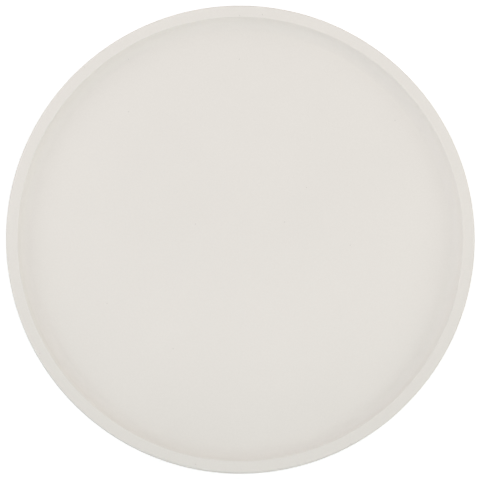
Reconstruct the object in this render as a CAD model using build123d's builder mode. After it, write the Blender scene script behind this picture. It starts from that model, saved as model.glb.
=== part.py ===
"""Lazy susan turntable: a round lacquered tray that turns on a ball bearing above a smaller footed base.

Millimetres, +Z up. The origin is on the table, under the centre of the tray.
"""

import os
from math import radians, sin, sqrt, tan

from build123d import *

# Tray, turned from one round blank
tray_diameter = 406.0
floor_thickness = 11.0
rim_width = 10.1
cove_radius = 12.0
well_wall_height = 2.6
well_wall_lean = 30.0
rim_inner_edge_radius = 0.8
rim_outer_edge_radius = 1.2
underside_edge_radius = 3.0

# Base board
base_diameter = 270.0
base_thickness = 12.0
base_edge_radius = 2.0
access_hole_diameter = 20.0

# Stamped bearing plates, with the angle of each plate's first corner at rest
plate_side = 152.4
plate_corner_radius = 12.0
sheet_thickness = 1.2
plate_hole_margin = 10.3
lower_corner_angle = 45.0
upper_corner_angle = 0.0

# Ball track pressed into both plates, its radius a share of the plate's side
ball_diameter = 4.7625
ball_count = 24
race_share = 0.328
race_clearance = 0.15
groove_ease = 0.4
groove_lift = 0.3
outer_land_width = 5.0
inner_land_width = 13.5
ramp_angle = 45.0
ramp_collar = 2.0
bend_radius = 0.5

# Eyelet that holds the two plates together
hub_sheet_thickness = 1.0
hub_flange_width = 5.0
hub_bend_radius = 0.8
hub_radial_clearance = 0.1
hub_axial_clearance = 0.15
hub_headroom = 0.25

# Ball cage
cage_width = 11.0
cage_clearance = 0.5
pocket_clearance = 0.15

# Wood screws with a cross recess
screw_diameter = 3.5
screw_bite = 8.0
screw_tip_length = 3.0
screw_head_diameter = 6.8
screw_head_height = 2.1
screw_head_crown = 0.9
screw_hole_clearance = 0.3
recess_span = 3.8
recess_slot = 0.9
recess_depth = 1.4
recess_taper = 8.0

# Rubber feet and their washers
foot_count = 6
foot_diameter = 22.0
foot_tip_diameter = 19.0
foot_height = 8.0
foot_web = 3.0
foot_edge_radius = 1.0
foot_edge_margin = 20.0
washer_diameter = 9.5
washer_thickness = 1.0

# Sizes that follow from the ones above
tray_radius = tray_diameter / 2
well_radius = tray_radius - rim_width
well_depth = well_wall_height + (cove_radius + rim_inner_edge_radius) * (1 - sin(radians(well_wall_lean)))
well_foot_radius = well_radius - well_depth * tan(radians(well_wall_lean))
base_radius = base_diameter / 2
ball_radius = ball_diameter / 2
groove_radius = ball_radius + groove_ease
race_radius = plate_side * race_share
plate_hole_radius = (plate_side / 2 - plate_hole_margin) * sqrt(2)
plate_corner_turn = 180 / 4
screw_radius = screw_diameter / 2
screw_hole_radius = screw_radius + screw_hole_clearance
screw_head_radius = screw_head_diameter / 2
washer_radius = washer_diameter / 2
foot_circle_radius = base_radius - foot_edge_margin

# Heights of the ball track above a plate's mounting face
track_lift = hub_sheet_thickness + hub_axial_clearance + hub_headroom
track_top = track_lift + sheet_thickness
groove_level = groove_lift + sheet_thickness + groove_radius
ball_level = groove_lift + sheet_thickness + race_clearance + ball_radius
bearing_height = 2 * ball_level

# Radii across the ball track, worked out on the front and on the back of the sheet
groove_half_width = sqrt(groove_radius**2 - (groove_level - track_top) ** 2)
groove_back_radius = groove_radius + sheet_thickness
groove_back_half_width = sqrt(groove_back_radius**2 - (groove_level - track_lift) ** 2)
hub_radius = race_radius - groove_half_width - inner_land_width
ramp_back_top = race_radius + groove_back_half_width + outer_land_width
ramp_back_foot = ramp_back_top + track_lift / tan(radians(ramp_angle))
ramp_front_shift = sheet_thickness * tan(radians(ramp_angle / 2))
track_outer_radius = ramp_back_foot + ramp_collar
hub_bore_radius = hub_radius - hub_sheet_thickness
hub_flange_radius = hub_radius + hub_flange_width
cage_thickness = bearing_height - 2 * (track_top + cage_clearance)

# Levels above the table
foot_recess_top = foot_height - foot_web
base_bottom = foot_height
base_top = base_bottom + base_thickness
tray_bottom = base_top + bearing_height
floor_top = tray_bottom + floor_thickness
rim_top = floor_top + well_depth
ball_centre = base_top + ball_level
hub_lower_grip = base_top + track_lift
hub_upper_grip = tray_bottom - track_lift + hub_axial_clearance


def save(piece, name):
    """Label a finished piece and write its STEP file."""
    piece.part.label = name
    export_step(piece.part, f"parts/{name}.step")


def corners_near(section, points):
    """The corners of a section that lie at the given points."""
    return [section.vertices().sort_by_distance(point)[0] for point in points]


def facing_down(level):
    """A plane at a level, turned over so that what stands on it hangs from it."""
    return Plane(origin=(0, 0, level), x_dir=(1, 0, 0), z_dir=(0, 0, -1))


def plate_corners(first_angle):
    """The screw places in the four corners of a square plate."""
    return PolarLocations(plate_hole_radius, 4, first_angle)


def feet_ring(side):
    """The places of the feet round the base, seen from above for a side of 1 and from below for -1."""
    return PolarLocations(foot_circle_radius, foot_count, side * 180 / foot_count)


def bearing_plate(hub_hole_radius):
    """A square plate on its mounting face, one corner on +X, with the ball track pressed upwards."""
    front_foot = (ramp_back_foot + ramp_front_shift, sheet_thickness)
    front_top = (ramp_back_top + ramp_front_shift, track_top)
    outer_lip = (race_radius + groove_half_width, track_top)
    inner_lip = (race_radius - groove_half_width, track_top)
    groove_floor = (race_radius, groove_lift + sheet_thickness)
    back_foot = (ramp_back_foot, 0)
    back_top = (ramp_back_top, track_lift)
    outer_back_lip = (race_radius + groove_back_half_width, track_lift)
    inner_back_lip = (race_radius - groove_back_half_width, track_lift)
    groove_back_floor = (race_radius, groove_lift)
    bends = [front_foot, front_top, outer_lip, inner_lip]
    bends += [back_foot, back_top, outer_back_lip, inner_back_lip]
    with BuildPart() as plate:
        with BuildSketch():
            square = Rectangle(plate_side, plate_side, rotation=plate_corner_turn)
            fillet(square.vertices(), plate_corner_radius)
            Circle(track_outer_radius, mode=Mode.SUBTRACT)
            with plate_corners(0):
                Circle(screw_hole_radius, mode=Mode.SUBTRACT)
        extrude(amount=sheet_thickness)
        with BuildSketch(Plane.XZ) as track:
            with BuildLine():
                Polyline((hub_hole_radius, track_lift), (hub_hole_radius, track_top), inner_lip)
                ThreePointArc(inner_lip, groove_floor, outer_lip)
                Polyline(outer_lip, front_top, front_foot, (track_outer_radius, sheet_thickness))
                Line((track_outer_radius, sheet_thickness), (track_outer_radius, 0))
                Polyline((track_outer_radius, 0), back_foot, back_top, outer_back_lip)
                ThreePointArc(outer_back_lip, groove_back_floor, inner_back_lip)
                Line(inner_back_lip, (hub_hole_radius, track_lift))
            make_face()
            fillet(corners_near(track, bends), bend_radius)
        revolve(axis=Axis.Z)
    return plate.part


def wood_screw(grip):
    """A pan-head screw pointing down, with the underside of its head on the ground plane."""
    tip_level = -(grip + screw_bite)
    crown_edge = (screw_head_radius, screw_head_height - screw_head_crown)
    crown_top = (0, screw_head_height)
    with BuildPart() as screw:
        with BuildSketch(Plane.XZ):
            with BuildLine():
                Polyline(
                    crown_top,
                    (0, tip_level),
                    (screw_radius, tip_level + screw_tip_length),
                    (screw_radius, 0),
                    (screw_head_radius, 0),
                    crown_edge,
                )
                TangentArc(crown_top, crown_edge, tangent=(1, 0))
            make_face()
        revolve(axis=Axis.Z)
        with BuildSketch(Plane.XY.offset(screw_head_height)):
            Rectangle(recess_span, recess_slot)
            Rectangle(recess_slot, recess_span)
        extrude(amount=-recess_depth, taper=recess_taper, mode=Mode.SUBTRACT)
    return screw.part


def rubber_foot():
    """A tapered foot standing on the ground plane, with a recess from below for its washer and screw."""
    tip_edge = (foot_tip_diameter / 2, 0)
    with BuildPart() as foot:
        with BuildSketch(Plane.XZ) as section:
            with BuildLine():
                Polyline(
                    (screw_hole_radius, foot_height),
                    (foot_diameter / 2, foot_height),
                    tip_edge,
                    (washer_radius, 0),
                    (washer_radius, foot_recess_top),
                    (screw_hole_radius, foot_recess_top),
                    close=True,
                )
            make_face()
            fillet(corners_near(section, [tip_edge]), foot_edge_radius)
        revolve(axis=Axis.Z)
    return foot.part


os.makedirs("parts", exist_ok=True)

# The tray, with a flat-topped rim, a coved well with a leaning wall, and pilot holes in its underside
with BuildPart() as tray:
    with BuildSketch(Plane.XZ) as tray_section:
        underside_edge = (tray_radius, tray_bottom)
        rim_outer_edge = (tray_radius, rim_top)
        rim_inner_edge = (well_radius, rim_top)
        cove_corner = (well_foot_radius, floor_top)
        with BuildLine():
            Polyline(
                (0, tray_bottom),
                underside_edge,
                rim_outer_edge,
                rim_inner_edge,
                cove_corner,
                (0, floor_top),
                close=True,
            )
        make_face()
        fillet(corners_near(tray_section, [underside_edge]), underside_edge_radius)
        fillet(corners_near(tray_section, [rim_outer_edge]), rim_outer_edge_radius)
        fillet(corners_near(tray_section, [rim_inner_edge]), rim_inner_edge_radius)
        fillet(corners_near(tray_section, [cove_corner]), cove_radius)
    revolve(axis=Axis.Z)
    with BuildSketch(Plane.XY.offset(tray_bottom)):
        with plate_corners(upper_corner_angle):
            Circle(screw_radius)
    extrude(amount=screw_bite, mode=Mode.SUBTRACT)
save(tray, "tray")

# The base board, with pilot holes from both sides and a hole to reach the upper screws through
with BuildPart() as base:
    with BuildSketch(Plane.XY.offset(base_bottom)):
        Circle(base_radius)
    extrude(amount=base_thickness)
    fillet(base.edges(), base_edge_radius)
    with BuildSketch(Plane.XY.offset(base_bottom)):
        with PolarLocations(plate_hole_radius, 1, upper_corner_angle):
            Circle(access_hole_diameter / 2)
    extrude(amount=base_thickness, mode=Mode.SUBTRACT)
    with BuildSketch(Plane.XY.offset(base_bottom)):
        with feet_ring(1):
            Circle(screw_radius)
    extrude(amount=screw_bite, mode=Mode.SUBTRACT)
    with BuildSketch(Plane.XY.offset(base_top)):
        with plate_corners(lower_corner_angle):
            Circle(screw_radius)
    extrude(amount=-screw_bite, mode=Mode.SUBTRACT)
save(base, "base")

# The bearing plates: the lower one is fixed to the hub, the upper one runs round it
lower_stamping = bearing_plate(hub_radius)
with BuildPart(Plane.XY.offset(base_top)) as lower_bearing_plate:
    add(lower_stamping, rotation=(0, 0, lower_corner_angle))
save(lower_bearing_plate, "lower_bearing_plate")

upper_stamping = bearing_plate(hub_radius + hub_radial_clearance)
with BuildPart(facing_down(tray_bottom)) as upper_bearing_plate:
    add(upper_stamping, rotation=(0, 0, -upper_corner_angle))
save(upper_bearing_plate, "upper_bearing_plate")

# The hub, rolled out into a flange under the lower plate and over the upper one
with BuildPart() as bearing_hub:
    with BuildSketch(Plane.XZ) as hub_section:
        bore_foot = (hub_bore_radius, hub_lower_grip - hub_sheet_thickness)
        bore_top = (hub_bore_radius, hub_upper_grip + hub_sheet_thickness)
        with BuildLine():
            Polyline(
                bore_foot,
                (hub_flange_radius, hub_lower_grip - hub_sheet_thickness),
                (hub_flange_radius, hub_lower_grip),
                (hub_radius, hub_lower_grip),
                (hub_radius, hub_upper_grip),
                (hub_flange_radius, hub_upper_grip),
                (hub_flange_radius, hub_upper_grip + hub_sheet_thickness),
                bore_top,
                close=True,
            )
        make_face()
        fillet(corners_near(hub_section, [bore_foot, bore_top]), hub_bend_radius)
    revolve(axis=Axis.Z)
save(bearing_hub, "bearing_hub")

# The cage, a flat ring whose round pockets snap over the balls
with BuildPart(Plane.XY.offset(ball_centre)) as ball_cage:
    Cylinder(race_radius + cage_width / 2, cage_thickness)
    Cylinder(race_radius - cage_width / 2, cage_thickness, mode=Mode.SUBTRACT)
    with PolarLocations(race_radius, ball_count):
        Sphere(ball_radius + pocket_clearance, mode=Mode.SUBTRACT)
save(ball_cage, "ball_cage")

# The balls
for number, place in enumerate(PolarLocations(race_radius, ball_count), start=1):
    with BuildPart(Plane.XY.offset(ball_centre)) as ball:
        with Locations(place):
            Sphere(ball_radius)
    save(ball, f"ball_{number:02d}")

# The plate screws: the lower ones go down into the base, the upper ones up into the tray
plate_screw = wood_screw(sheet_thickness)
with BuildPart(Plane.XY.offset(base_top + sheet_thickness)) as lower_plate_screws:
    with plate_corners(lower_corner_angle):
        add(plate_screw)
save(lower_plate_screws, "lower_plate_screws")

with BuildPart(facing_down(tray_bottom - sheet_thickness)) as upper_plate_screws:
    with plate_corners(-upper_corner_angle):
        add(plate_screw)
save(upper_plate_screws, "upper_plate_screws")

# The feet, with the washers and screws that hold them under the base
foot_shape = rubber_foot()
for number, place in enumerate(feet_ring(1), start=1):
    with BuildPart() as foot:
        with Locations(place):
            add(foot_shape)
    save(foot, f"foot_{number}")

with BuildPart() as foot_washers:
    with BuildSketch(Plane.XY.offset(foot_recess_top)):
        with feet_ring(1):
            Circle(washer_radius)
            Circle(screw_hole_radius, mode=Mode.SUBTRACT)
    extrude(amount=-washer_thickness)
save(foot_washers, "foot_washers")

foot_screw = wood_screw(washer_thickness + foot_web)
with BuildPart(facing_down(foot_recess_top - washer_thickness)) as foot_screws:
    with feet_ring(-1):
        add(foot_screw)
save(foot_screws, "foot_screws")
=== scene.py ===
"""Lazy susan turntable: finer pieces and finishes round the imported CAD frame, on a plain stage.

Metres, +Z up, in the frame of the CAD model.
"""

import math

import bmesh
import bpy
from bpy.props import FloatProperty, FloatVectorProperty, PointerProperty
from mathutils import Matrix, Vector


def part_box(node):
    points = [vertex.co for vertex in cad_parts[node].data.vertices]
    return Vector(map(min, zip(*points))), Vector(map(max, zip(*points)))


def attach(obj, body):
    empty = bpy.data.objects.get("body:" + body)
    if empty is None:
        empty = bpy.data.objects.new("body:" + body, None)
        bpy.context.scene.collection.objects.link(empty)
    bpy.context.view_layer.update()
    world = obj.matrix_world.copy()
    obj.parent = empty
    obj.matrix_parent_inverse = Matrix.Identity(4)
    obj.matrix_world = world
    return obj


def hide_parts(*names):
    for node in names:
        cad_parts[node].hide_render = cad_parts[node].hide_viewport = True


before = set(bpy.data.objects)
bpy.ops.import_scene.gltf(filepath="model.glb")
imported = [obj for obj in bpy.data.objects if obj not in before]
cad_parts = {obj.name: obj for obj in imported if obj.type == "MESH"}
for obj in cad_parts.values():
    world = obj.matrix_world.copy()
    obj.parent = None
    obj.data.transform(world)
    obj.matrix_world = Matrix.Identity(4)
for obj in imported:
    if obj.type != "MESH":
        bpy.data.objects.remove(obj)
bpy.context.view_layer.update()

bl_info = {
    "name": "Lazy susan turntable",
    "version": (1, 0, 0),
    "blender": (4, 5, 0),
    "location": "View3D > Sidebar > Turntable",
    "description": "Builds the pieces and finishes of a lazy susan turntable round its CAD frame",
    "category": "Object",
}

MM = 0.001
ROUND_LARGE = 288
ROUND_MEDIUM = 192
ROUND_SMALL = 48
ROUND_HOLE = 24
SHARP_ANGLE = math.radians(40)
# An arc of more than this radius gets the larger count of steps
LARGE_ARC = 5 * MM
LARGE_ARC_STEPS = 18
SMALL_ARC_STEPS = 7
# Length of a drilled tip over the radius of its hole
DRILLED_TIP = 0.6

# Places that the CAD frame gives
tray_low, tray_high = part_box("tray")
base_low, base_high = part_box("base")
plate_low, plate_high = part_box("lower_bearing_plate")
hub_low, hub_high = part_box("bearing_hub")
cage_low, cage_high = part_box("ball_cage")
ball_low, ball_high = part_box("ball_01")
foot_low, foot_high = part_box("foot_1")
washer_low, washer_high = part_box("foot_washers")
base_screw_low, base_screw_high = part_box("lower_plate_screws")
tray_screw_low, tray_screw_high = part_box("upper_plate_screws")
foot_screw_low, foot_screw_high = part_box("foot_screws")
ball_nodes = [name for name in sorted(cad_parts) if name.startswith("ball_") and name != "ball_cage"]
foot_nodes = [name for name in sorted(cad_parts) if name.startswith("foot_") and name[-1].isdigit()]


def length(name, description, millimetres):
    """A length that a user may change."""
    return FloatProperty(
        name=name, description=description, default=millimetres * MM, min=0.0, precision=5, unit="LENGTH"
    )


def strength(name, description, value):
    """A strength of light that a user may change."""
    return FloatProperty(name=name, description=description, default=value, min=0.0)


def slant(name, description, degrees):
    """An angle that a user may change."""
    return FloatProperty(
        name=name, description=description, default=math.radians(degrees), subtype="ANGLE", unit="ROTATION"
    )


def tint(name, description, colour):
    """A linear colour that a user may change."""
    return FloatVectorProperty(
        name=name, description=description, default=colour, min=0.0, max=1.0, subtype="COLOR"
    )


class TraySizes(bpy.types.PropertyGroup):
    """Sizes of the turned tray that its outer box doesn't give."""

    rim_width: length("Rim width", "Flat rim from the outer face to the well", 10.1)
    floor_thickness: length("Floor thickness", "Board left under the well", 11.0)
    cove: length("Cove radius", "Curve from the floor of the well up to its wall", 12.0)
    wall_lean: slant("Wall lean", "Lean of the well's wall from upright", 30.0)
    inner_edge: length("Inner edge", "Rounding of the rim towards the well", 0.8)
    outer_edge: length("Outer edge", "Rounding of the rim towards the outside", 1.2)
    lower_edge: length("Lower edge", "Rounding round the underside", 3.0)


class BaseSizes(bpy.types.PropertyGroup):
    """Sizes of the base board that its outer box doesn't give."""

    edge: length("Edge", "Rounding of the upper and lower edges", 2.0)
    access_hole: length("Access hole", "Diameter of the hole that the upper screws are driven through", 20.0)
    hole_edge: length("Hole edge", "Softening of the access hole's edges", 0.5)


class BearingSizes(bpy.types.PropertyGroup):
    """Sizes of the pressed plates, the hub and the cage."""

    sheet: length("Sheet", "Thickness of the pressed plates", 1.2)
    corner: length("Corner radius", "Rounded corners of the square plates", 12.0)
    groove_ease: length("Groove ease", "How much rounder the groove is than a ball", 0.4)
    groove_lift: length("Groove lift", "Height of the groove's back above the mounting face", 0.3)
    outer_land: length("Outer land", "Flat between the groove and the ramp", 5.0)
    inner_land: length("Inner land", "Flat between the groove and the hub", 13.5)
    collar: length("Collar", "Flat ring outside the foot of the ramp", 2.0)
    bend: length("Bend", "Radius of the pressed bends", 0.5)
    hub_clearance: length("Hub clearance", "Running gap round the hub in the upper plate", 0.1)
    hub_sheet: length("Hub sheet", "Thickness of the rolled hub", 1.0)
    hub_bend: length("Hub bend", "Rounding where the hub's bore rolls into its flanges", 0.8)
    pocket_clearance: length("Pocket clearance", "Gap between a ball and its pocket", 0.15)
    cut_edge: length("Cut edge", "Softening of the sheared and moulded edges", 0.15)


class ScrewSizes(bpy.types.PropertyGroup):
    """Sizes of the wood screws."""

    shank: length("Shank", "Diameter over the thread", 3.5)
    core: length("Core", "Diameter at the foot of the thread", 2.4)
    pitch: length("Pitch", "Rise of the thread in one turn", 1.35)
    tip: length("Tip", "Length of the pointed tip", 3.0)
    bite: length("Bite", "Depth of the pilot holes", 8.0)
    head: length("Head", "Diameter of the pan head", 6.8)
    head_height: length("Head height", "Height of the pan head", 2.1)
    crown: length("Crown", "Rise of the head's domed top", 0.9)
    recess_span: length("Recess span", "Width over the cross recess", 3.8)
    recess_slot: length("Recess slot", "Width of the cross recess's arms", 0.9)
    recess_depth: length("Recess depth", "Depth of the cross recess", 1.4)
    hole_clearance: length("Hole clearance", "Gap between a screw and the hole it passes", 0.3)


class FootSizes(bpy.types.PropertyGroup):
    """Sizes of the rubber feet and their washers."""

    tip: length("Tip diameter", "Diameter where a foot stands", 19.0)
    web: length("Web", "Rubber between the base and a washer", 3.0)
    tip_edge: length("Tip edge", "Rounding round the standing face", 1.0)
    soft_edge: length("Soft edge", "Rounding of the other moulded edges", 0.35)
    washer: length("Washer", "Diameter of a washer", 9.5)
    washer_edge: length("Washer edge", "Rounding that tumbling left on a washer", 0.2)


class Finishes(bpy.types.PropertyGroup):
    """Colours of the finishes."""

    tray: tint("Tray lacquer", "Sprayed off-white lacquer of the tray", (0.792, 0.761, 0.718))
    base: tint("Base lacquer", "Sprayed off-white lacquer of the base", (0.760, 0.728, 0.682))
    sheet: tint("Plated sheet", "Zinc on the bearing plates", (0.530, 0.540, 0.550))
    hub: tint("Hub steel", "Plated steel of the hub", (0.480, 0.485, 0.490))
    ball: tint("Ball steel", "Polished steel of the balls", (0.560, 0.560, 0.565))
    screw: tint("Screw zinc", "Bright zinc on the screws", (0.560, 0.565, 0.560))
    washer: tint("Washer steel", "Dull zinc on the washers", (0.480, 0.485, 0.490))
    nylon: tint("Nylon", "Natural nylon of the ball cage", (0.770, 0.745, 0.670))
    rubber: tint("Rubber", "Dark rubber of the feet", (0.022, 0.022, 0.023))


class StageSettings(bpy.types.PropertyGroup):
    """Camera, floor and light."""

    camera_distance: length("Camera distance", "Distance from the camera to the rim", 5600.0)
    camera_tilt: slant("Camera tilt", "Lean of the line of sight from upright", 4.8)
    camera_bearing: slant("Camera bearing", "Side that the camera stands on, from +X", 254.0)
    floor_size: length("Floor size", "Width of the pale floor", 8000.0)
    floor: tint("Floor", "Pale floor under the turntable", (0.7, 0.7, 0.7))
    floor_glow: strength("Floor glow", "Own light that the floor shows beside the tray", 0.57)
    ambient: strength("Ambient", "Even light from all round", 0.40)
    pool_watts: strength("Pool watts", "Power of the lamp that lights a pool from above", 11.1)
    pool_height: length("Pool height", "Height of that lamp above the rim", 1600.0)
    pool_radius: length("Pool radius", "Reach of the pool of light at the rim", 310.0)
    pool_shift: length("Pool shift", "How far the pool lies towards the back", 100.0)


class Turntable(bpy.types.PropertyGroup):
    """All the settings of the turntable."""

    tray: PointerProperty(type=TraySizes)
    base: PointerProperty(type=BaseSizes)
    bearing: PointerProperty(type=BearingSizes)
    screw: PointerProperty(type=ScrewSizes)
    foot: PointerProperty(type=FootSizes)
    finish: PointerProperty(type=Finishes)
    stage: PointerProperty(type=StageSettings)


# Mesh helpers: a section is a list of (radius, height) points, and a loop is a closed list of corners


def rounded(corners):
    """A section through (radius, height, rounding) corners, with an arc at each rounding."""
    section = []
    for k, (radius, height, rounding) in enumerate(corners):
        here = Vector((radius, height))
        if rounding == 0:
            section.append((radius, height))
            continue
        back = (Vector(corners[k - 1][:2]) - here).normalized()
        ahead = (Vector(corners[(k + 1) % len(corners)][:2]) - here).normalized()
        half = back.angle(ahead) / 2
        centre = here + (back + ahead).normalized() * rounding / math.sin(half)
        start = here + back * rounding / math.tan(half) - centre
        sweep = math.copysign(math.pi - 2 * half, back.cross(ahead) * -1)
        steps = LARGE_ARC_STEPS if rounding > LARGE_ARC else SMALL_ARC_STEPS
        for step in range(steps + 1):
            angle = sweep * step / steps
            turned = (
                start.x * math.cos(angle) - start.y * math.sin(angle),
                start.x * math.sin(angle) + start.y * math.cos(angle),
            )
            section.append((centre.x + turned[0], centre.y + turned[1]))
    return section


def ring(bm, radius, height, count, centre=(0.0, 0.0)):
    """A level loop of corners round an upright axis."""
    x, y = centre
    turns = [2 * math.pi * k / count for k in range(count)]
    return [bm.verts.new((x + radius * math.cos(t), y + radius * math.sin(t), height)) for t in turns]


def bridge(bm, first, second):
    """A band of faces between two loops with as many corners."""
    for k in range(len(first)):
        bm.faces.new((first[k - 1], first[k], second[k], second[k - 1]))


def fan(bm, loop, tip):
    """Faces from a loop to one point."""
    point = bm.verts.new(tip)
    for k in range(len(loop)):
        bm.faces.new((loop[k - 1], loop[k], point))


def fill(bm, *loops):
    """The flat face inside the first loop, with the other loops as holes in it."""
    edges = []
    for loop in loops:
        for k in range(len(loop)):
            edges.append(bm.edges.get((loop[k - 1], loop[k])) or bm.edges.new((loop[k - 1], loop[k])))
    bmesh.ops.triangle_fill(bm, use_beauty=True, use_dissolve=False, edges=edges)


def turn(bm, section, count, centre=(0.0, 0.0), closed=False):
    """The bands that a section makes when it turns about an upright axis. Gives back its loops."""
    loops = [ring(bm, radius, height, count, centre) for radius, height in section]
    for first, second in zip(loops, loops[1:]):
        bridge(bm, first, second)
    if closed:
        bridge(bm, loops[-1], loops[0])
    return loops


def round_places(radius, count, first_angle):
    """Points spread evenly round the axis."""
    angles = [math.radians(first_angle + 360 * k / count) for k in range(count)]
    return [(radius * math.cos(a), radius * math.sin(a)) for a in angles]


def tray_screw_places(screw):
    """Where the screws of the upper plate stand, the first over the access hole."""
    return round_places(tray_screw_high.x - screw.head / 2, 4, 0)


def base_screw_places(screw):
    """Where the screws of the lower plate stand."""
    return round_places((base_screw_high.x - screw.head / 2) * math.sqrt(2), 4, 45)


def foot_places():
    """Where the feet stand."""
    centre = (foot_low + foot_high) / 2
    count = len(foot_nodes)
    return round_places(math.hypot(centre.x, centre.y), count, 180 / count)


def groove_of(sizes):
    """The race's radius, the groove's radius and its height over the plate's back, and the hub's radius."""
    race = (ball_low.x + ball_high.x) / 2
    groove = (ball_high.z - ball_low.z) / 2 + sizes.groove_ease
    level = sizes.groove_lift + sizes.sheet + groove
    top = plate_high.z - plate_low.z
    barrel = race - sizes.inner_land - math.sqrt(groove ** 2 - (level - top) ** 2)
    return race, groove, level, barrel


def pilot_hole(bm, centre, radius, mouth, depth):
    """A blind hole with a drilled tip. Gives back the loop at its mouth."""
    loops = turn(bm, [(radius, mouth), (radius, mouth + depth)], ROUND_HOLE, centre)
    tip = mouth + depth + math.copysign(radius * DRILLED_TIP, depth)
    fan(bm, loops[-1], (centre[0], centre[1], tip))
    return loops[0]


def outline(bm, half_side, corner, height):
    """A square loop with rounded corners, one side square to X."""
    loop = []
    steps = 10
    for k in range(4):
        for step in range(steps + 1):
            angle = math.radians(90 * (k + step / steps))
            away = Matrix.Rotation(math.radians(90 * k), 2) @ Vector((half_side - corner, half_side - corner))
            x, y = away.x + corner * math.cos(angle), away.y + corner * math.sin(angle)
            loop.append(bm.verts.new((x, y, height)))
    return loop


def piece(name, bm, finish, body, slot, *nodes):
    """A finished mesh object that rides on a body and stands for its CAD nodes."""
    bmesh.ops.recalc_face_normals(bm, faces=bm.faces)
    mesh = bpy.data.meshes.new(name)
    bm.to_mesh(mesh)
    bm.free()
    mesh.polygons.foreach_set("use_smooth", [True] * len(mesh.polygons))
    mesh.set_sharp_from_angle(angle=SHARP_ANGLE)
    mesh.materials.append(finish)
    made = bpy.data.objects.new(name, mesh)
    bpy.context.scene.collection.objects.link(made)
    made.modifiers.new("even_flats", "WEIGHTED_NORMAL").keep_sharp = True
    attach(made, body)
    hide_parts(*nodes)
    return made


# Finish helpers


def plug(tree, socket, value):
    """Puts a value or a link on a socket."""
    if isinstance(value, bpy.types.NodeSocket):
        tree.links.new(value, socket)
    else:
        socket.default_value = value


def wear(tree, shader, **sockets):
    """Puts values and links on the sockets of a shader node."""
    for key, value in sockets.items():
        plug(tree, shader.inputs[key.replace("_", " ")], value)


def node(tree, kind, settings=None, **sockets):
    """A shader node with its settings, and with values or links on its sockets."""
    made = tree.nodes.new(kind)
    for key, value in (settings or {}).items():
        setattr(made, key, value)
    wear(tree, made, **sockets)
    return made


def finish_of(name):
    """A new material with its node tree, its shader and the object's own coordinates."""
    material = bpy.data.materials.new(name)
    material.use_nodes = True
    tree = material.node_tree
    place = node(tree, "ShaderNodeTexCoord").outputs["Object"]
    return material, tree, tree.nodes["Principled BSDF"], place


def noise(tree, place, scale, detail=2.0, roughness=0.5, stretch=None):
    """Noise with a feature size of one over its scale, in metres."""
    if stretch:
        place = node(tree, "ShaderNodeMapping", Vector=place, Scale=stretch).outputs["Vector"]
    made = node(tree, "ShaderNodeTexNoise", Vector=place, Scale=scale, Detail=detail, Roughness=roughness)
    return made.outputs["Fac"]


def spread(tree, value, low, high, start=0.3, end=0.7):
    """A value that runs from low to high as another one runs from start to end."""
    made = node(
        tree, "ShaderNodeMapRange", Value=value, From_Min=start, From_Max=end, To_Min=low, To_Max=high
    )
    return made.outputs["Result"]


def math_of(tree, operation, first, second):
    """One sum on two values."""
    made = tree.nodes.new("ShaderNodeMath")
    made.operation = operation
    for socket, value in zip(made.inputs, (first, second)):
        plug(tree, socket, value)
    return made.outputs["Value"]


def mixed(tree, share, first, second):
    """A colour between two others."""
    made = tree.nodes.new("ShaderNodeMix")
    made.data_type = "RGBA"
    # The colour sockets of this node share their names with those of its other kinds, so they go by place
    for place, value in ((0, share), (6, first), (7, second)):
        plug(tree, made.inputs[place], value)
    return made.outputs[2]


def shade(colour, level):
    """A colour made lighter or darker, with full alpha."""
    return (*(min(1.0, channel * level) for channel in colour), 1.0)


def bumped(tree, height, strength, distance, normal=None):
    """A bump from a height, over another bump if there is one."""
    made = node(tree, "ShaderNodeBump", Height=height, Strength=strength, Distance=distance)
    if normal:
        tree.links.new(normal, made.inputs["Normal"])
    return made.outputs["Normal"]


def lacquer(name, colour):
    """Sprayed matte lacquer: faint clouds, sparse specks of dust and a soft orange peel."""
    grain_share, grain_tone = 0.035, (0.30, 0.28, 0.25, 1.0)
    speck_cells, speck_pick, speck_radius = 52.0, 0.95, 0.022
    speck_share, speck_tone = 0.22, (0.12, 0.10, 0.08, 1.0)
    lying = 0.9
    material, tree, shader, place = finish_of(name)
    clouds = spread(tree, noise(tree, place, scale=11.0, detail=3.0, roughness=0.55), 0.0, 1.0)
    grain = spread(tree, noise(tree, place, scale=620.0), 0.0, 1.0, start=0.25, end=0.75)
    toned = mixed(tree, clouds, shade(colour, 0.990), shade(colour, 1.004))
    grained = mixed(tree, math_of(tree, "MULTIPLY", grain, grain_share), toned, grain_tone)
    dust = node(tree, "ShaderNodeTexVoronoi", {"voronoi_dimensions": "2D"}, Vector=place, Scale=speck_cells)
    picked = node(tree, "ShaderNodeSeparateColor", Color=dust.outputs["Color"])
    few = math_of(tree, "GREATER_THAN", picked.outputs["Red"], speck_pick)
    small = math_of(tree, "LESS_THAN", dust.outputs["Distance"], speck_radius)
    upward = node(tree, "ShaderNodeSeparateXYZ", Vector=node(tree, "ShaderNodeTexCoord").outputs["Normal"])
    level = math_of(tree, "GREATER_THAN", upward.outputs["Z"], lying)
    specks = math_of(tree, "MULTIPLY", math_of(tree, "MULTIPLY", few, small), level)
    speckled = mixed(tree, math_of(tree, "MULTIPLY", specks, speck_share), grained, speck_tone)
    peel = bumped(tree, noise(tree, place, scale=330.0, roughness=0.45), strength=0.10, distance=0.05 * MM)
    flow = noise(tree, place, scale=45.0, detail=1.0)
    wear(
        tree,
        shader,
        Base_Color=speckled,
        Roughness=spread(tree, noise(tree, place, scale=70.0, detail=4.0), 0.68, 0.78),
        Specular_IOR_Level=0.35,
        Normal=bumped(tree, flow, strength=0.10, distance=0.20 * MM, normal=peel),
    )
    return material


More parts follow.
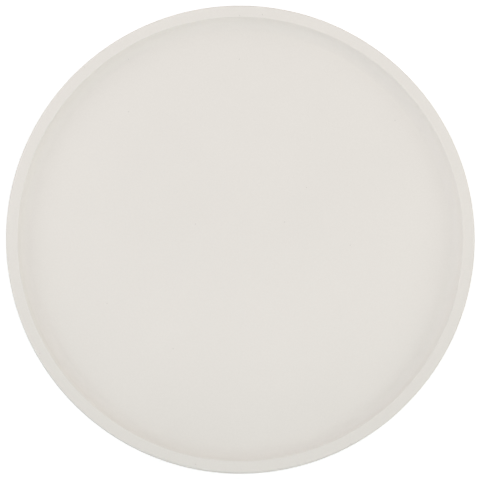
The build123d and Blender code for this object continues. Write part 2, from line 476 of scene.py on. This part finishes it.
def zinc(name, colour, roughness, spangle):
    """Zinc plating: crystal spangle, cloudy passivation and fine handling scratches."""
    facet_share, facet_dulling = 0.28, 0.06
    material, tree, shader, place = finish_of(name)
    crystals = node(tree, "ShaderNodeTexVoronoi", Vector=place, Scale=spangle)
    facet = node(tree, "ShaderNodeSeparateColor", Color=crystals.outputs["Color"]).outputs["Red"]
    clouds = spread(tree, noise(tree, place, scale=60.0, detail=4.0, roughness=0.6), 0.0, 1.0)
    warm = (colour[0] * 1.02, colour[1] * 0.985, colour[2] * 0.92)
    toned = mixed(tree, clouds, shade(colour, 1.0), shade(warm, 0.93))
    faceted = mixed(tree, math_of(tree, "MULTIPLY", facet, facet_share), toned, shade(colour, 0.74))
    along, across = (
        noise(tree, place, scale=900.0, detail=3.0, roughness=0.6, stretch=stretch)
        for stretch in ((0.05, 1.0, 1.0), (1.0, 0.06, 1.0))
    )
    clouded = spread(tree, clouds, roughness - 0.05, roughness + 0.07, start=0.0, end=1.0)
    wear(
        tree,
        shader,
        Base_Color=faceted,
        Metallic=1.0,
        Roughness=math_of(tree, "ADD", clouded, math_of(tree, "MULTIPLY", facet, facet_dulling)),
        Normal=bumped(tree, math_of(tree, "ADD", along, across), strength=0.12, distance=0.03 * MM),
    )
    return material


def polished_steel(name, colour):
    """Ground and polished steel, with a film of oil that shows as soft clouds."""
    material, tree, shader, place = finish_of(name)
    clouds = spread(tree, noise(tree, place, scale=380.0, detail=3.0), 0.0, 1.0)
    oiled = (colour[0], colour[1] * 0.97, colour[2] * 0.90)
    wear(
        tree,
        shader,
        Base_Color=mixed(tree, clouds, shade(colour, 1.0), shade(oiled, 0.86)),
        Metallic=1.0,
        Roughness=spread(tree, noise(tree, place, scale=900.0, detail=3.0), 0.06, 0.16),
        Normal=bumped(tree, noise(tree, place, scale=2600.0), strength=0.05, distance=0.01 * MM),
    )
    return material


def nylon(name, colour):
    """Natural moulded nylon, milky, with a fine moulded grain."""
    material, tree, shader, place = finish_of(name)
    clouds = spread(tree, noise(tree, place, scale=90.0, detail=3.0), 0.0, 1.0)
    wear(
        tree,
        shader,
        Base_Color=mixed(tree, clouds, shade(colour, 0.95), shade(colour, 1.04)),
        Roughness=spread(tree, noise(tree, place, scale=240.0, detail=3.0), 0.38, 0.52),
        Subsurface_Weight=0.25,
        Subsurface_Radius=(1.0, 0.9, 0.7),
        Subsurface_Scale=0.8 * MM,
        Normal=bumped(tree, noise(tree, place, scale=1500.0), strength=0.15, distance=0.02 * MM),
    )
    return material


def rubber(name, colour):
    """Moulded rubber with a matte skin, a bloom of dust and a pale scuff where it stands."""
    scuff_height, scuff_tone = 0.9 * MM, (0.16, 0.15, 0.14, 1.0)
    material, tree, shader, place = finish_of(name)
    bloom = noise(tree, place, scale=140.0, detail=5.0, roughness=0.65)
    dust = spread(tree, bloom, 0.0, 0.55, start=0.45, end=0.8)
    bloomed = mixed(tree, dust, shade(colour, 1.0), shade(colour, 2.6))
    height = node(tree, "ShaderNodeSeparateXYZ", Vector=place).outputs["Z"]
    standing = spread(tree, height, 0.6, 0.0, start=0.0, end=scuff_height)
    rubbed = noise(tree, place, scale=420.0, detail=4.0, roughness=0.7)
    wear(
        tree,
        shader,
        Base_Color=mixed(tree, math_of(tree, "MULTIPLY", standing, rubbed), bloomed, scuff_tone),
        Roughness=spread(tree, noise(tree, place, scale=300.0, detail=3.0), 0.66, 0.84),
        Specular_IOR_Level=0.35,
        Normal=bumped(tree, noise(tree, place, scale=1100.0, detail=3.0), strength=0.25, distance=0.04 * MM),
    )
    return material


# Operators, one for each piece or group of like pieces


class TURNTABLE_OT_tray(bpy.types.Operator):
    """Turns the lacquered tray with its flat rim, coved well and pilot holes"""

    bl_idname = "turntable.tray"
    bl_label = "Tray"

    # Loops that keep the flats even, and the share of the underside that is filled round the pilot holes
    floor_rings = (0.05, 0.10, 0.15)
    underside_ring = 0.8
    drilled_share = 0.6

    def execute(self, context):
        turntable = context.scene.turntable
        sizes, screw = turntable.tray, turntable.screw
        radius = tray_high.x
        bottom, rim_top = tray_low.z, tray_high.z
        floor_top = bottom + sizes.floor_thickness
        well = radius - sizes.rim_width
        foot = well - (rim_top - floor_top) * math.tan(sizes.wall_lean)
        section = [(ring_radius, floor_top, 0) for ring_radius in self.floor_rings]
        section = rounded(section + [
            (foot, floor_top, sizes.cove),
            (well, rim_top, sizes.inner_edge),
            (radius, rim_top, sizes.outer_edge),
            (radius, bottom, sizes.lower_edge),
            (radius * self.underside_ring, bottom, 0),
            (radius * self.drilled_share, bottom, 0),
        ])
        bm = bmesh.new()
        loops = turn(bm, section, ROUND_LARGE)
        fan(bm, loops[0], (0, 0, floor_top))
        holes = [
            pilot_hole(bm, place, screw.shank / 2, bottom, screw.bite) for place in tray_screw_places(screw)
        ]
        fill(bm, loops[-1], *holes)
        finish = lacquer("tray_lacquer_coat", turntable.finish.tray)
        piece("lacquered_tray", bm, finish, "tray", "tray_lacquer", "tray")
        return {"FINISHED"}


class TURNTABLE_OT_base(bpy.types.Operator):
    """Makes the base board with its access hole and pilot holes"""

    bl_idname = "turntable.base"
    bl_label = "Base"

    # Share of the faces that is filled round the holes, and the width kept round the access hole
    drilled_share = 0.94
    hole_border = 3

    def execute(self, context):
        turntable = context.scene.turntable
        sizes, screw = turntable.base, turntable.screw
        radius = base_high.x
        bottom, top = base_low.z, base_high.z
        drilled = radius * self.drilled_share
        bm = bmesh.new()
        rim = turn(bm, rounded([
            (drilled, top, 0),
            (radius, top, sizes.edge),
            (radius, bottom, sizes.edge),
            (drilled, bottom, 0),
        ]), ROUND_LARGE)
        hole = sizes.access_hole / 2
        wide = hole + sizes.hole_edge * self.hole_border
        mouth = turn(bm, rounded([
            (wide, top, 0),
            (hole, top, sizes.hole_edge),
            (hole, bottom, sizes.hole_edge),
            (wide, bottom, 0),
        ]), 2 * ROUND_SMALL, tray_screw_places(screw)[0])
        pilot = screw.shank / 2
        upper = [pilot_hole(bm, place, pilot, top, -screw.bite) for place in base_screw_places(screw)]
        lower = [pilot_hole(bm, place, pilot, bottom, screw.bite) for place in foot_places()]
        fill(bm, rim[0], mouth[0], *upper)
        fill(bm, rim[-1], mouth[-1], *lower)
        finish = lacquer("base_lacquer_coat", turntable.finish.base)
        piece("base_board", bm, finish, "base", "base_lacquer", "base")
        return {"FINISHED"}


class TURNTABLE_OT_plates(bpy.types.Operator):
    """Presses the two square bearing plates with their ball tracks"""

    bl_idname = "turntable.plates"
    bl_label = "Bearing plates"

    ramp_slope = math.radians(45)
    lip_steps = 6
    arc_steps = 10
    # Inset of a soft edge's middle over its width
    bevel_middle = 0.3

    def track(self, sizes, hub_hole):
        """The closed section of the pressed track above a plate's mounting face."""
        race, groove, groove_level, _ = groove_of(sizes)
        top = plate_high.z - plate_low.z
        back = top - sizes.sheet
        groove_back = groove + sizes.sheet
        half_width = math.sqrt(groove_back ** 2 - (groove_level - back) ** 2)
        ramp_top = race + half_width + sizes.outer_land
        ramp_foot = ramp_top + back
        shift = sizes.sheet * math.tan(self.ramp_slope / 2)
        edge = ramp_foot + sizes.collar
        front = self.valley(race, groove_level, groove, top, sizes.bend)
        under = self.valley(race, groove_level, groove_back, back, sizes.bend)
        outer = rounded([
            (front[-1][0], top, 0),
            (ramp_top + shift, top, sizes.bend),
            (ramp_foot + shift, sizes.sheet, sizes.bend),
            (edge, sizes.sheet, 0),
            (edge, 0.0, 0),
            (ramp_foot, 0.0, sizes.bend),
            (ramp_top, back, sizes.bend),
            (under[-1][0], back, 0),
        ])
        flats = outer.index((edge, sizes.sheet))
        inner = rounded([
            (under[0][0], back, 0),
            (hub_hole, back, sizes.cut_edge),
            (hub_hole, top, sizes.cut_edge),
            (front[0][0], top, 0),
        ])
        upper_run = inner[1:-1] + front + outer[1:flats + 1]
        lower_run = outer[flats + 1:-1] + under[::-1]
        return upper_run, lower_run

    def valley(self, race, level, radius, land, bend):
        """The groove's arc and its two rounded lips, from the inner land to the outer one."""
        lip_height = land - bend
        away = math.sqrt((radius + bend) ** 2 - (level - lip_height) ** 2)
        lean = math.atan2(away, level - lip_height)
        lip_angles = [lean * step / self.lip_steps for step in range(self.lip_steps + 1)]
        arc_angles = [lean * step / self.arc_steps for step in range(1 - self.arc_steps, self.arc_steps)]
        lip = [(away - bend * math.sin(angle), lip_height + bend * math.cos(angle)) for angle in lip_angles]
        arc = [(radius * math.sin(angle), level - radius * math.cos(angle)) for angle in arc_angles]
        left = [(race - x, z) for x, z in lip]
        return left + [(race + x, z) for x, z in arc + lip[::-1]]

    def execute(self, context):
        turntable = context.scene.turntable
        sizes, screw = turntable.bearing, turntable.screw
        _, _, _, barrel = groove_of(sizes)
        half_side = plate_high.x
        finish = zinc("plated_sheet_coat", turntable.finish.sheet, roughness=0.34, spangle=240.0)
        flip = Matrix.Translation((0, 0, tray_low.z)) @ Matrix.Rotation(math.pi, 4, "X")
        flip = flip @ Matrix.Rotation(math.radians(45), 4, "Z")
        stand = Matrix.Translation((0, 0, plate_low.z))
        makes = (
            ("lower_plate", barrel, stand, "base", "lower_bearing_plate"),
            ("upper_plate", barrel + sizes.hub_clearance, flip, "tray", "upper_bearing_plate"),
        )
        for name, hub_hole, place, body, cad_node in makes:
            bm = bmesh.new()
            upper_run, lower_run = self.track(sizes, hub_hole)
            upper_loops = turn(bm, upper_run, ROUND_MEDIUM)
            lower_loops = turn(bm, lower_run, ROUND_MEDIUM)
            bridge(bm, lower_loops[-1], upper_loops[0])
            cut = sizes.cut_edge
            bevel = cut * self.bevel_middle
            rims = [
                outline(bm, half_side - inset, sizes.corner - inset, height)
                for inset, height in (
                    (cut, sizes.sheet),
                    (bevel, sizes.sheet - bevel),
                    (0, sizes.sheet - cut),
                    (0, cut),
                    (bevel, bevel),
                    (cut, 0.0),
                )
            ]
            for first, second in zip(rims, rims[1:]):
                bridge(bm, first, second)
            hole = screw.shank / 2 + screw.hole_clearance
            holes = [
                turn(bm, [
                    (hole + cut, sizes.sheet),
                    (hole, sizes.sheet - cut),
                    (hole, cut),
                    (hole + cut, 0.0),
                ], ROUND_HOLE, spot)
                for spot in base_screw_places(screw)
            ]
            fill(bm, rims[0], upper_loops[-1], *(loops[0] for loops in holes))
            fill(bm, rims[-1], lower_loops[0], *(loops[-1] for loops in holes))
            bmesh.ops.transform(bm, matrix=place, verts=bm.verts)
            piece(name, bm, finish, body, "plated_sheet", cad_node)
        return {"FINISHED"}


class TURNTABLE_OT_hub(bpy.types.Operator):
    """Rolls the hub that holds the two plates together"""

    bl_idname = "turntable.hub"
    bl_label = "Bearing hub"

    def execute(self, context):
        turntable = context.scene.turntable
        sizes = turntable.bearing
        flange = hub_high.x
        _, _, _, barrel = groove_of(sizes)
        bore = barrel - sizes.hub_sheet
        low, high = hub_low.z, hub_high.z
        bm = bmesh.new()
        turn(bm, rounded([
            (bore, low, sizes.hub_bend),
            (flange, low, sizes.cut_edge),
            (flange, low + sizes.hub_sheet, sizes.cut_edge),
            (barrel, low + sizes.hub_sheet, 0),
            (barrel, high - sizes.hub_sheet, 0),
            (flange, high - sizes.hub_sheet, sizes.cut_edge),
            (flange, high, sizes.cut_edge),
            (bore, high, sizes.hub_bend),
        ]), ROUND_MEDIUM, closed=True)
        finish = zinc("hub_steel_coat", turntable.finish.hub, roughness=0.30, spangle=420.0)
        piece("rolled_hub", bm, finish, "base", "hub_steel", "bearing_hub")
        return {"FINISHED"}


class TURNTABLE_OT_cage(bpy.types.Operator):
    """Moulds the flat ball cage with its round pockets"""

    bl_idname = "turntable.cage"
    bl_label = "Ball cage"

    # Width kept beside an edge over the edge's rounding, and steps in half a pocket's wall
    edge_border = 4
    pocket_steps = 4

    def execute(self, context):
        turntable = context.scene.turntable
        sizes = turntable.bearing
        race = (ball_low.x + ball_high.x) / 2
        outer = cage_high.x
        inner = 2 * race - outer
        middle = (cage_low.z + cage_high.z) / 2
        half = (cage_high.z - cage_low.z) / 2
        pocket = (ball_high.z - ball_low.z) / 2 + sizes.pocket_clearance
        cut = sizes.cut_edge
        border = self.edge_border * cut
        bm = bmesh.new()
        outside, inside = (
            turn(bm, rounded([
                (flat, middle + half, 0),
                (edge, middle + half, cut),
                (edge, middle - half, cut),
                (flat, middle - half, 0),
            ]), ROUND_MEDIUM)
            for edge, flat in ((outer, outer - border), (inner, inner + border))
        )
        steps = self.pocket_steps
        heights = [half * step / steps for step in range(-steps, steps + 1)]
        wall = [(math.sqrt(pocket ** 2 - height ** 2), middle + height) for height in heights]
        pockets = [
            turn(bm, wall, ROUND_SMALL, place) for place in round_places(race, len(ball_nodes), 0)
        ]
        fill(bm, outside[0], inside[0], *(loops[-1] for loops in pockets))
        fill(bm, outside[-1], inside[-1], *(loops[0] for loops in pockets))
        finish = nylon("cage_nylon_skin", turntable.finish.nylon)
        piece("moulded_cage", bm, finish, "cage", "cage_nylon", "ball_cage")
        return {"FINISHED"}


class TURNTABLE_OT_balls(bpy.types.Operator):
    """Grinds the bearing balls out of polished steel"""

    bl_idname = "turntable.balls"
    bl_label = "Bearing balls"

    def execute(self, context):
        finish = polished_steel("ball_steel_polish", context.scene.turntable.finish.ball)
        for cad_node in ball_nodes:
            low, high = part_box(cad_node)
            bm = bmesh.new()
            bmesh.ops.create_uvsphere(
                bm,
                u_segments=ROUND_SMALL,
                v_segments=ROUND_HOLE,
                radius=(high.z - low.z) / 2,
                matrix=Matrix.Translation((low + high) / 2),
            )
            piece(f"steel_{cad_node}", bm, finish, cad_node, "ball_steel", cad_node)
        return {"FINISHED"}


class TURNTABLE_OT_screws(bpy.types.Operator):
    """Makes the cross-recessed wood screws of both plates and of the feet"""

    bl_idname = "turntable.screws"
    bl_label = "Wood screws"

    crown_steps = 14
    rings_per_turn = 10
    head_softness = 0.12 * MM
    # Share of a turn that one flank of the thread takes, and the turns over which the thread runs out
    flank = 0.28
    run_out = 1.2
    # Shape of the pointed tip, and its core over its thread
    tip_fullness = 0.8
    tip_core = 0.8
    # Narrowing of the recess over its depth, and how far its cutter stands proud of the head
    recess_taper = 0.14
    cutter_proud = 0.6 * MM
    # How the recesses stand, so that no two screws are driven alike
    first_turn, next_turn = 23, 41
    fewest_faces = 500

    def screw_mesh(self, sizes, total):
        """One screw pointing down, the underside of its head on the ground plane."""
        head = sizes.head / 2
        shoulder = sizes.head_height - sizes.crown
        dome = (head ** 2 + sizes.crown ** 2) / (2 * sizes.crown)
        bend = math.asin(head / dome)
        angles = [bend * step / self.crown_steps for step in range(1, self.crown_steps)]
        section = [
            (dome * math.sin(angle), sizes.head_height - dome * (1 - math.cos(angle))) for angle in angles
        ]
        soft = self.head_softness
        section += [(head - soft, shoulder + soft * 0.3), (head, shoulder - soft)]
        section += [(head, soft), (head - soft, 0.0), (sizes.shank / 2, 0.0)]
        bm = bmesh.new()
        loops = turn(bm, section, ROUND_SMALL)
        fan(bm, loops[0], (0, 0, sizes.head_height))
        last = loops[-1]
        shaft = total - sizes.head_height
        rings = int(shaft / sizes.pitch * self.rings_per_turn)
        for k in range(1, rings):
            depth = shaft * k / rings
            last = self.thread_ring(bm, sizes, depth, shaft, last)
        fan(bm, last, (0, 0, -shaft))
        bmesh.ops.recalc_face_normals(bm, faces=bm.faces)
        blank = bpy.data.meshes.new("screw_blank")
        bm.to_mesh(blank)
        bm.free()
        return blank

    def thread_ring(self, bm, sizes, depth, shaft, above):
        """The next loop down a threaded shank."""
        left = shaft - depth
        outer = sizes.shank / 2 * min(1.0, left / sizes.tip) ** self.tip_fullness
        core = min(sizes.core / 2, outer * self.tip_core)
        loop = []
        for k in range(ROUND_SMALL):
            angle = 2 * math.pi * k / ROUND_SMALL
            phase = (depth / sizes.pitch + k / ROUND_SMALL) % 1.0
            ridge = max(0.0, 1.0 - abs(phase - 0.5) / self.flank)
            start = min(1.0, depth / (self.run_out * sizes.pitch))
            radius = outer - (outer - core) * start * (1.0 - ridge)
            loop.append(bm.verts.new((radius * math.cos(angle), radius * math.sin(angle), -depth)))
        bridge(bm, above, loop)
        return loop

    def recess_cutter(self, sizes):
        """A tapered cross that cuts the recess."""
        bm = bmesh.new()
        depth = sizes.recess_depth
        for wide, high in ((sizes.recess_span, sizes.recess_slot), (sizes.recess_slot, sizes.recess_span)):
            loops = []
            for level, narrow in ((self.cutter_proud, 0.0), (-depth, depth * self.recess_taper)):
                x, y = wide / 2 - narrow, high / 2 - narrow
                z = sizes.head_height + level
                corners = ((x, y, z), (-x, y, z), (-x, -y, z), (x, -y, z))
                loops.append([bm.verts.new(corner) for corner in corners])
            bridge(bm, *loops)
            bm.faces.new(loops[0])
            bm.faces.new(loops[1])
        bmesh.ops.recalc_face_normals(bm, faces=bm.faces)
        cutter = bpy.data.meshes.new("recess_cutter")
        bm.to_mesh(cutter)
        bm.free()
        return cutter

    def recessed(self, sizes, total):
        """One screw with its cross recess cut."""
        scene = bpy.context.scene
        blank = bpy.data.objects.new("screw_blank", self.screw_mesh(sizes, total))
        cutter = bpy.data.objects.new("recess_cutter", self.recess_cutter(sizes))
        for made in (blank, cutter):
            scene.collection.objects.link(made)
        cut = blank.modifiers.new("recess", "BOOLEAN")
        cut.operation = "DIFFERENCE"
        cut.solver = "EXACT"
        cut.use_self = True
        cut.object = cutter
        depsgraph = bpy.context.evaluated_depsgraph_get()
        made = bpy.data.meshes.new_from_object(blank.evaluated_get(depsgraph))
        for scrap in (blank, cutter):
            bpy.data.objects.remove(scrap)
        if len(made.polygons) < self.fewest_faces:
            raise RuntimeError("the cross recess could not be cut")
        return made

    def execute(self, context):
        turntable = context.scene.turntable
        sizes = turntable.screw
        finish = zinc("screw_zinc", turntable.finish.screw, roughness=0.24, spangle=900.0)
        up = Matrix.Rotation(math.pi, 4, "X")
        groups = (
            ("base_plate_screws", base_screw_low, base_screw_high, False,
             base_screw_places(sizes), "base", "lower_plate_screws"),
            ("tray_plate_screws", tray_screw_low, tray_screw_high, True,
             tray_screw_places(sizes), "tray", "upper_plate_screws"),
            ("rubber_foot_screws", foot_screw_low, foot_screw_high, True,
             foot_places(), "base", "foot_screws"),
        )
        for name, low, high, upward, places, body, cad_node in groups:
            one = self.recessed(sizes, high.z - low.z)
            seat = low.z + sizes.head_height if upward else high.z - sizes.head_height
            bm = bmesh.new()
            for k, (x, y) in enumerate(places):
                before = set(bm.verts)
                bm.from_mesh(one)
                driven = math.radians(self.first_turn + self.next_turn * k)
                placed = Matrix.Translation((x, y, seat)) @ Matrix.Rotation(driven, 4, "Z")
                if upward:
                    placed = placed @ up
                bmesh.ops.transform(bm, matrix=placed, verts=[v for v in bm.verts if v not in before])
            piece(name, bm, finish, body, "plated_screws", cad_node)
        return {"FINISHED"}


class TURNTABLE_OT_feet(bpy.types.Operator):
    """Moulds the tapered rubber feet"""

    bl_idname = "turntable.feet"
    bl_label = "Rubber feet"

    def execute(self, context):
        turntable = context.scene.turntable
        sizes, screw = turntable.foot, turntable.screw
        finish = rubber("foot_rubber_skin", turntable.finish.rubber)
        hole = screw.shank / 2 + screw.hole_clearance
        for number, cad_node in enumerate(foot_nodes, start=1):
            low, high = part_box(cad_node)
            centre = (low + high) / 2
            top = high.z
            recess = top - sizes.web
            bm = bmesh.new()
            turn(bm, rounded([
                (hole, top, 0),
                ((high.x - low.x) / 2, top, sizes.soft_edge),
                (sizes.tip / 2, low.z, sizes.tip_edge),
                (sizes.washer / 2, low.z, sizes.soft_edge),
                (sizes.washer / 2, recess, 0),
                (hole, recess, 0),
            ]), 2 * ROUND_SMALL, (centre.x, centre.y), closed=True)
            piece(f"rubber_foot_{number}", bm, finish, "base", "foot_rubber", cad_node)
        return {"FINISHED"}


class TURNTABLE_OT_washers(bpy.types.Operator):
    """Stamps the washers that hold the feet"""

    bl_idname = "turntable.washers"
    bl_label = "Foot washers"

    def execute(self, context):
        turntable = context.scene.turntable
        sizes, screw = turntable.foot, turntable.screw
        finish = zinc("washer_zinc", turntable.finish.washer, roughness=0.38, spangle=700.0)
        hole = screw.shank / 2 + screw.hole_clearance
        bm = bmesh.new()
        for place in foot_places():
            turn(bm, rounded([
                (hole, washer_high.z, sizes.washer_edge),
                (sizes.washer / 2, washer_high.z, sizes.washer_edge),
                (sizes.washer / 2, washer_low.z, sizes.washer_edge),
                (hole, washer_low.z, sizes.washer_edge),
            ]), 2 * ROUND_SMALL, place, closed=True)
        piece("stamped_washers", bm, finish, "base", "washer_steel", "foot_washers")
        return {"FINISHED"}


class TURNTABLE_OT_stage(bpy.types.Operator):
    """Sets up the pale floor, the soft light and the camera above the tray"""

    bl_idname = "turntable.stage"
    bl_label = "Stage"

    # name, bearing from +X in degrees, distance from the axis, height above the rim, width, watts, colour
    lamps = (
        ("wide_east", 0, 1.00, 0.60, 1.00, 3.13, (0.997, 1.000, 0.978)),
        ("wide_north", 90, 1.00, 0.60, 1.00, 2.92, (1.000, 0.965, 0.949)),
        ("wide_west", 180, 1.00, 0.60, 1.00, 3.27, (0.984, 0.992, 1.000)),
        ("wide_south", 270, 1.00, 0.60, 1.00, 2.36, (0.933, 0.995, 1.000)),
        ("soft_south", 270, 1.00, 1.00, 0.70, 1.63, (0.923, 1.000, 0.981)),
        ("low_east", 0, 1.33, 0.43, 0.50, 1.65, (0.990, 1.000, 0.910)),
        ("low_north_west", 135, 1.33, 0.43, 0.50, 0.94, (1.000, 0.992, 0.930)),
        ("low_west", 180, 1.33, 0.43, 0.50, 0.90, (0.850, 0.900, 1.000)),
    )

    pool_colour = (1.0, 0.930, 0.965)
    pool_softness = 0.08
    pool_blend = 0.5
    # Where the floor's own light starts to rise and where it is white, over the tray's radius
    glow_rise = (1.2, 5.0)
    sensor_width = 36.0
    # Half the picture's width, and the tray's radius and offset in it, in pixels
    half_frame = 240.0
    disc_radius = 234.5
    disc_offset = (0.55, 1.55)

    def seen(self, tree):
        """One for rays that the camera, a gloss or a glass sends out, and nought for the rest."""
        rays = node(tree, "ShaderNodeLightPath").outputs
        seen = math_of(tree, "MAXIMUM", rays["Is Camera Ray"], rays["Is Glossy Ray"])
        return math_of(tree, "MAXIMUM", seen, rays["Is Transmission Ray"])

    def lay_floor(self, settings):
        """A pale floor that shows white but keeps the shadow, and can be looked through from below."""
        half = settings.floor_size / 2
        bm = bmesh.new()
        bm.faces.new([bm.verts.new((x * half, y * half, 0)) for x, y in ((-1, -1), (1, -1), (1, 1), (-1, 1))])
        mesh = bpy.data.meshes.new("pale_floor")
        bm.to_mesh(mesh)
        bm.free()
        material = bpy.data.materials.new("pale_floor")
        material.use_nodes = True
        tree = material.node_tree
        tree.nodes.remove(tree.nodes["Principled BSDF"])
        matte = node(tree, "ShaderNodeBsdfDiffuse", Color=(*settings.floor, 1.0))
        place = node(tree, "ShaderNodeTexCoord").outputs["Object"]
        away = node(tree, "ShaderNodeVectorMath", {"operation": "LENGTH"}, Vector=place).outputs["Value"]
        near, far = (share * tray_high.x for share in self.glow_rise)
        level = spread(tree, away, settings.floor_glow, 1.0, start=near, end=far)
        glow = math_of(tree, "MULTIPLY", self.seen(tree), level)
        shown = node(tree, "ShaderNodeEmission", Strength=glow)
        lit = tree.nodes.new("ShaderNodeAddShader")
        tree.links.new(matte.outputs[0], lit.inputs[0])
        tree.links.new(shown.outputs[0], lit.inputs[1])
        sides = tree.nodes.new("ShaderNodeMixShader")
        tree.links.new(node(tree, "ShaderNodeNewGeometry").outputs["Backfacing"], sides.inputs[0])
        tree.links.new(lit.outputs[0], sides.inputs[1])
        tree.links.new(node(tree, "ShaderNodeBsdfTransparent").outputs[0], sides.inputs[2])
        tree.links.new(sides.outputs[0], tree.nodes["Material Output"].inputs["Surface"])
        mesh.materials.append(material)
        floor = bpy.data.objects.new("pale_floor", mesh)
        bpy.context.scene.collection.objects.link(floor)

    def light(self, settings):
        """Even light from all round and soft lamps round the tray."""
        scene = bpy.context.scene
        scene.world = bpy.data.worlds.new("white_room")
        scene.world.use_nodes = True
        tree = scene.world.node_tree
        strength = math_of(tree, "MULTIPLY", self.seen(tree), 1.0 - settings.ambient)
        strength = math_of(tree, "ADD", strength, settings.ambient)
        background = tree.nodes["Background"]
        background.inputs["Color"].default_value = (1.0, 1.0, 1.0, 1.0)
        tree.links.new(strength, background.inputs["Strength"])
        aim = Vector((0, 0, tray_high.z))
        for name, bearing, away, height, width, watts, colour in self.lamps:
            lamp = bpy.data.lights.new(name, "AREA")
            lamp.shape = "DISK"
            lamp.size = width
            lamp.energy = watts
            lamp.color = colour
            holder = bpy.data.objects.new(name, lamp)
            scene.collection.objects.link(holder)
            angle = math.radians(bearing)
            offset = Vector((away * math.cos(angle), away * math.sin(angle), height))
            holder.location = aim + offset
            holder.rotation_euler = (-offset).to_track_quat("-Z", "Y").to_euler()
            holder.visible_camera = False
        pool = bpy.data.lights.new("pool", "SPOT")
        pool.energy = settings.pool_watts
        pool.color = self.pool_colour
        pool.shadow_soft_size = self.pool_softness
        pool.spot_size = 2 * math.atan(settings.pool_radius / settings.pool_height)
        pool.spot_blend = self.pool_blend
        holder = bpy.data.objects.new("pool", pool)
        scene.collection.objects.link(holder)
        holder.location = aim + Vector((0, settings.pool_shift, settings.pool_height))
        holder.visible_camera = False

    def execute(self, context):
        settings = context.scene.turntable.stage
        scene = context.scene
        scene.view_settings.view_transform = "Standard"
        self.lay_floor(settings)
        self.light(settings)
        camera = bpy.data.cameras.new("camera")
        holder = bpy.data.objects.new("camera", camera)
        scene.collection.objects.link(holder)
        pixel = tray_high.x / self.disc_radius
        aim = Vector((-self.disc_offset[0] * pixel, -self.disc_offset[1] * pixel, tray_high.z))
        flat = math.sin(settings.camera_tilt)
        away = Vector((
            flat * math.cos(settings.camera_bearing),
            flat * math.sin(settings.camera_bearing),
            math.cos(settings.camera_tilt),
        ))
        right = Vector((0, 1, 0)).cross(away).normalized()
        holder.matrix_world = Matrix((right, away.cross(right), away)).transposed().to_4x4()
        holder.location = aim + away * settings.camera_distance
        camera.sensor_width = self.sensor_width
        camera.lens = camera.sensor_width / 2 * settings.camera_distance / (self.half_frame * pixel)
        scene.camera = holder
        return {"FINISHED"}


class TURNTABLE_PT_build(bpy.types.Panel):
    """Lists the steps that build the turntable"""

    bl_idname = "TURNTABLE_PT_build"
    bl_label = "Turntable"
    bl_space_type = "VIEW_3D"
    bl_region_type = "UI"
    bl_category = "Turntable"

    def draw(self, context):
        for step in STEPS:
            self.layout.operator(step.bl_idname)
        settings = context.scene.turntable
        for group in ("tray", "base", "bearing", "screw", "foot", "finish", "stage"):
            box = self.layout.box()
            box.label(text=group.capitalize())
            values = getattr(settings, group)
            for name in values.__annotations__:
                box.prop(values, name)


STEPS = (
    TURNTABLE_OT_tray,
    TURNTABLE_OT_base,
    TURNTABLE_OT_plates,
    TURNTABLE_OT_hub,
    TURNTABLE_OT_cage,
    TURNTABLE_OT_balls,
    TURNTABLE_OT_screws,
    TURNTABLE_OT_feet,
    TURNTABLE_OT_washers,
    TURNTABLE_OT_stage,
)
GROUPS = (TraySizes, BaseSizes, BearingSizes, ScrewSizes, FootSizes, Finishes, StageSettings, Turntable)


def register():
    for made in (*GROUPS, *STEPS, TURNTABLE_PT_build):
        bpy.utils.register_class(made)
    bpy.types.Scene.turntable = PointerProperty(type=Turntable)


def unregister():
    del bpy.types.Scene.turntable
    for made in reversed((*GROUPS, *STEPS, TURNTABLE_PT_build)):
        bpy.utils.unregister_class(made)


def main():
    register()
    for step in STEPS:
        getattr(bpy.ops.turntable, step.bl_idname.split(".")[1])()


if __name__ == "__main__":
    main()
